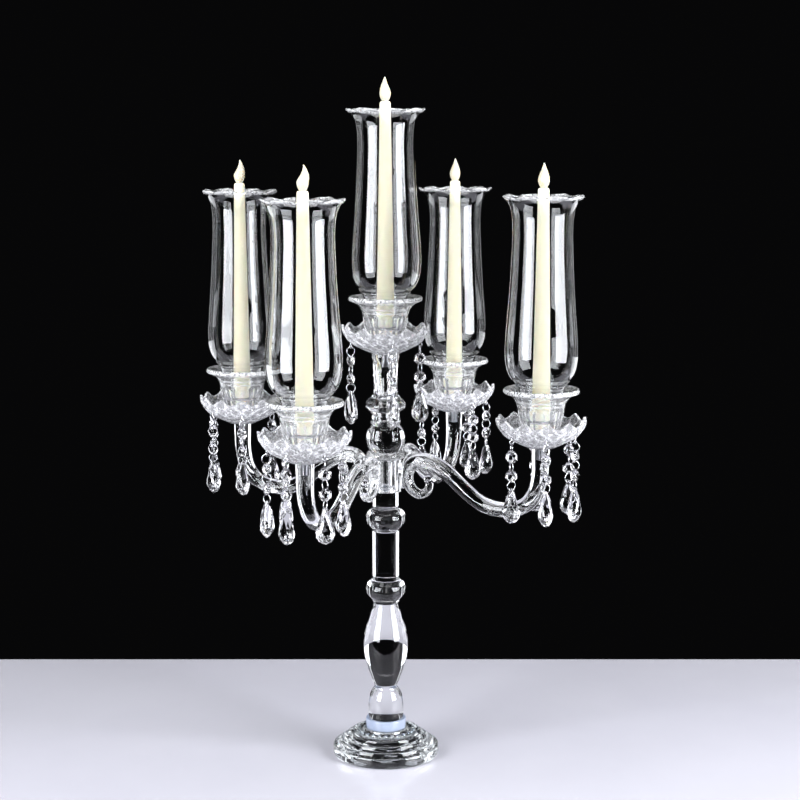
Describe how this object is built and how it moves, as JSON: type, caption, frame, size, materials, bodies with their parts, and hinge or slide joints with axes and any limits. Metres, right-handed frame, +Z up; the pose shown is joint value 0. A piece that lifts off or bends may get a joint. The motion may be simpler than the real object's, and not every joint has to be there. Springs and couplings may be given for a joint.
{
  "type": "candelabrum",
  "caption": "Tall clear-glass candelabrum: turned column on a round stepped foot, curled arms, scalloped dishes with crystal drops, and lift-off hurricane shades over tapers.",
  "frame": {"origin": "centre of the foot's underside", "axes": "+Z up along the column; the first arm points 26 degrees from +X towards -Y, and the others follow every quarter turn"},
  "size_m": [0.418, 0.418, 0.7406],
  "materials": {
    "clear_glass": "polished clear glass",
    "foot_glass": "polished pressed glass, faint green",
    "collar_glass": "polished, faint blue",
    "pressed_crystal": "pressed relief, bright",
    "shade_glass": "thin blown clear glass",
    "crystal": "cut and polished",
    "candle_wax": "ivory wax coat, soft sheen",
    "flame_tip": "translucent soft plastic, unlit",
    "ring_wire": "bright plated wire",
    "screw_steel": "machined"
  },
  "bodies": {
    "stand": {"foot": "foot_glass", "foot_collar": "collar_glass", "baluster": "clear_glass", "lower_knop": "clear_glass", "column_rod": "clear_glass", "upper_knop": "clear_glass", "hub": "clear_glass", "hub_cap": "clear_glass", "ball_knop": "clear_glass", "upper_stem": "clear_glass", "arm_right": "clear_glass", "arm_back": "clear_glass", "arm_left": "clear_glass", "arm_front": "clear_glass", "bobeche_centre": "pressed_crystal", "cup_centre": "clear_glass", "bobeche_right": "pressed_crystal", "cup_right": "clear_glass", "bobeche_back": "pressed_crystal", "cup_back": "clear_glass", "bobeche_left": "pressed_crystal", "cup_left": "clear_glass", "bobeche_front": "pressed_crystal", "cup_front": "clear_glass", "cup_screws": "screw_steel", "pendant_hooks": "ring_wire"},
    "shade_centre": {"shade_centre": "shade_glass"},
    "candle_centre": {"candle_centre": "candle_wax"},
    "pendant_centre_1": {"pendant_centre_1": "crystal"},
    "pendant_centre_2": {"pendant_centre_2": "crystal"},
    "pendant_centre_3": {"pendant_centre_3": "crystal"},
    "pendant_centre_4": {"pendant_centre_4": "crystal"},
    "shade_right": {"shade_right": "shade_glass"},
    "candle_right": {"candle_right": "candle_wax"},
    "pendant_right_1": {"pendant_right_1": "crystal"},
    "pendant_right_2": {"pendant_right_2": "crystal"},
    "pendant_right_3": {"pendant_right_3": "crystal"},
    "pendant_right_4": {"pendant_right_4": "crystal"},
    "pendant_right_5": {"pendant_right_5": "crystal"},
    "shade_back": {"shade_back": "shade_glass"},
    "candle_back": {"candle_back": "candle_wax"},
    "pendant_back_1": {"pendant_back_1": "crystal"},
    "pendant_back_2": {"pendant_back_2": "crystal"},
    "pendant_back_3": {"pendant_back_3": "crystal"},
    "pendant_back_4": {"pendant_back_4": "crystal"},
    "pendant_back_5": {"pendant_back_5": "crystal"},
    "shade_left": {"shade_left": "shade_glass"},
    "candle_left": {"candle_left": "candle_wax"},
    "pendant_left_1": {"pendant_left_1": "crystal"},
    "pendant_left_2": {"pendant_left_2": "crystal"},
    "pendant_left_3": {"pendant_left_3": "crystal"},
    "pendant_left_4": {"pendant_left_4": "crystal"},
    "pendant_left_5": {"pendant_left_5": "crystal"},
    "shade_front": {"shade_front": "shade_glass"},
    "candle_front": {"candle_front": "candle_wax"},
    "pendant_front_1": {"pendant_front_1": "crystal"},
    "pendant_front_2": {"pendant_front_2": "crystal"},
    "pendant_front_3": {"pendant_front_3": "crystal"},
    "pendant_front_4": {"pendant_front_4": "crystal"},
    "pendant_front_5": {"pendant_front_5": "crystal"}
  },
  "joints": [
    {"name": "shade_centre_lift", "type": "slide", "parent": "stand", "child": "shade_centre", "axis": [0, 0, 1], "range_m": [0, 0.25]},
    {"name": "candle_centre_lift", "type": "slide", "parent": "stand", "child": "candle_centre", "axis": [0, 0, 1], "range_m": [0, 0.25]},
    {"name": "pendant_centre_1_swing", "type": "hinge", "parent": "stand", "child": "pendant_centre_1", "pos_m": [0.0079, -0.03717, 0.4506], "axis": [-0.3907, -0.9205, 0], "range_deg": [-5, 25]},
    {"name": "pendant_centre_2_swing", "type": "hinge", "parent": "stand", "child": "pendant_centre_2", "pos_m": [0.03717, 0.0079, 0.4506], "axis": [0.9903, -0.1392, 0], "range_deg": [-5, 25]},
    {"name": "pendant_centre_3_swing", "type": "hinge", "parent": "stand", "child": "pendant_centre_3", "pos_m": [-0.0079, 0.03717, 0.4506], "axis": [0.9903, -0.1392, 0], "range_deg": [-5, 25]},
    {"name": "pendant_centre_4_swing", "type": "hinge", "parent": "stand", "child": "pendant_centre_4", "pos_m": [-0.03717, -0.0079, 0.4506], "axis": [-0.454, 0.891, 0], "range_deg": [-5, 25]},
    {"name": "shade_right_lift", "type": "slide", "parent": "stand", "child": "shade_right", "axis": [0, 0, 1], "range_m": [0, 0.25]},
    {"name": "candle_right_lift", "type": "slide", "parent": "stand", "child": "candle_right", "axis": [0, 0, 1], "range_m": [0, 0.25]},
    {"name": "pendant_right_1_swing", "type": "hinge", "parent": "stand", "child": "pendant_right_1", "pos_m": [0.19594, -0.09556, 0.3626], "axis": [-0.4384, -0.8988, 0], "range_deg": [-10, 25]},
    {"name": "pendant_right_2_swing", "type": "hinge", "parent": "stand", "child": "pendant_right_2", "pos_m": [0.19329, -0.05766, 0.3626], "axis": [0.8572, -0.515, 0], "range_deg": [-10, 25]},
    {"name": "pendant_right_3_swing", "type": "hinge", "parent": "stand", "child": "pendant_right_3", "pos_m": [0.15913, -0.041, 0.3626], "axis": [0.9613, -0.2756, 0], "range_deg": [-10, 25]},
    {"name": "pendant_right_4_swing", "type": "hinge", "parent": "stand", "child": "pendant_right_4", "pos_m": [0.13028, -0.10016, 0.3626], "axis": [-0.9613, 0.2756, 0], "range_deg": [-10, 25]},
    {"name": "pendant_right_5_swing", "type": "hinge", "parent": "stand", "child": "pendant_right_5", "pos_m": [0.16443, -0.11681, 0.3626], "axis": [-0.6947, 0.7193, 0], "range_deg": [-10, 25]},
    {"name": "shade_back_lift", "type": "slide", "parent": "stand", "child": "shade_back", "axis": [0, 0, 1], "range_m": [0, 0.25]},
    {"name": "candle_back_lift", "type": "slide", "parent": "stand", "child": "candle_back", "axis": [0, 0, 1], "range_m": [0, 0.25]},
    {"name": "pendant_back_1_swing", "type": "hinge", "parent": "stand", "child": "pendant_back_1", "pos_m": [0.09556, 0.19594, 0.3626], "axis": [0.8988, -0.4384, 0], "range_deg": [-10, 25]},
    {"name": "pendant_back_2_swing", "type": "hinge", "parent": "stand", "child": "pendant_back_2", "pos_m": [0.05766, 0.19329, 0.3626], "axis": [0.1045, 0.9945, 0], "range_deg": [-10, 25]},
    {"name": "pendant_back_3_swing", "type": "hinge", "parent": "stand", "child": "pendant_back_3", "pos_m": [0.041, 0.15913, 0.3626], "axis": [-0.5592, 0.829, 0], "range_deg": [-10, 25]},
    {"name": "pendant_back_4_swing", "type": "hinge", "parent": "stand", "child": "pendant_back_4", "pos_m": [0.10016, 0.13028, 0.3626], "axis": [-0.9877, -0.1564, 0], "range_deg": [-10, 25]},
    {"name": "pendant_back_5_swing", "type": "hinge", "parent": "stand", "child": "pendant_back_5", "pos_m": [0.11681, 0.16443, 0.3626], "axis": [-0.5878, -0.809, 0], "range_deg": [-10, 25]},
    {"name": "shade_left_lift", "type": "slide", "parent": "stand", "child": "shade_left", "axis": [0, 0, 1], "range_m": [0, 0.25]},
    {"name": "candle_left_lift", "type": "slide", "parent": "stand", "child": "candle_left", "axis": [0, 0, 1], "range_m": [0, 0.25]},
    {"name": "pendant_left_1_swing", "type": "hinge", "parent": "stand", "child": "pendant_left_1", "pos_m": [-0.19594, 0.09556, 0.3626], "axis": [0.4384, 0.8988, 0], "range_deg": [-10, 25]},
    {"name": "pendant_left_2_swing", "type": "hinge", "parent": "stand", "child": "pendant_left_2", "pos_m": [-0.19329, 0.05766, 0.3626], "axis": [-0.809, 0.5878, 0], "range_deg": [-10, 25]},
    {"name": "pendant_left_3_swing", "type": "hinge", "parent": "stand", "child": "pendant_left_3", "pos_m": [-0.15913, 0.041, 0.3626], "axis": [-0.8572, 0.515, 0], "range_deg": [-10, 25]},
    {"name": "pendant_left_4_swing", "type": "hinge", "parent": "stand", "child": "pendant_left_4", "pos_m": [-0.13028, 0.10016, 0.3626], "axis": [0.8988, -0.4384, 0], "range_deg": [-10, 25]},
    {"name": "pendant_left_5_swing", "type": "hinge", "parent": "stand", "child": "pendant_left_5", "pos_m": [-0.16443, 0.11681, 0.3626], "axis": [0.9336, -0.3584, 0], "range_deg": [-10, 25]},
    {"name": "shade_front_lift", "type": "slide", "parent": "stand", "child": "shade_front", "axis": [0, 0, 1], "range_m": [0, 0.25]},
    {"name": "candle_front_lift", "type": "slide", "parent": "stand", "child": "candle_front", "axis": [0, 0, 1], "range_m": [0, 0.25]},
    {"name": "pendant_front_1_swing", "type": "hinge", "parent": "stand", "child": "pendant_front_1", "pos_m": [-0.09556, -0.19594, 0.3626], "axis": [-0.8988, 0.4384, 0], "range_deg": [-10, 25]},
    {"name": "pendant_front_2_swing", "type": "hinge", "parent": "stand", "child": "pendant_front_2", "pos_m": [-0.05766, -0.19329, 0.3626], "axis": [-0.9976, -0.0698, 0], "range_deg": [-10, 25]},
    {"name": "pendant_front_3_swing", "type": "hinge", "parent": "stand", "child": "pendant_front_3", "pos_m": [-0.041, -0.15913, 0.3626], "axis": [0.7547, -0.6561, 0], "range_deg": [-10, 25]},
    {"name": "pendant_front_4_swing", "type": "hinge", "parent": "stand", "child": "pendant_front_4", "pos_m": [-0.10016, -0.13028, 0.3626], "axis": [-0.0698, 0.9976, 0], "range_deg": [-10, 25]},
    {"name": "pendant_front_5_swing", "type": "hinge", "parent": "stand", "child": "pendant_front_5", "pos_m": [-0.11681, -0.16443, 0.3626], "axis": [0.1908, 0.9816, 0], "range_deg": [-10, 25]}
  ]
}
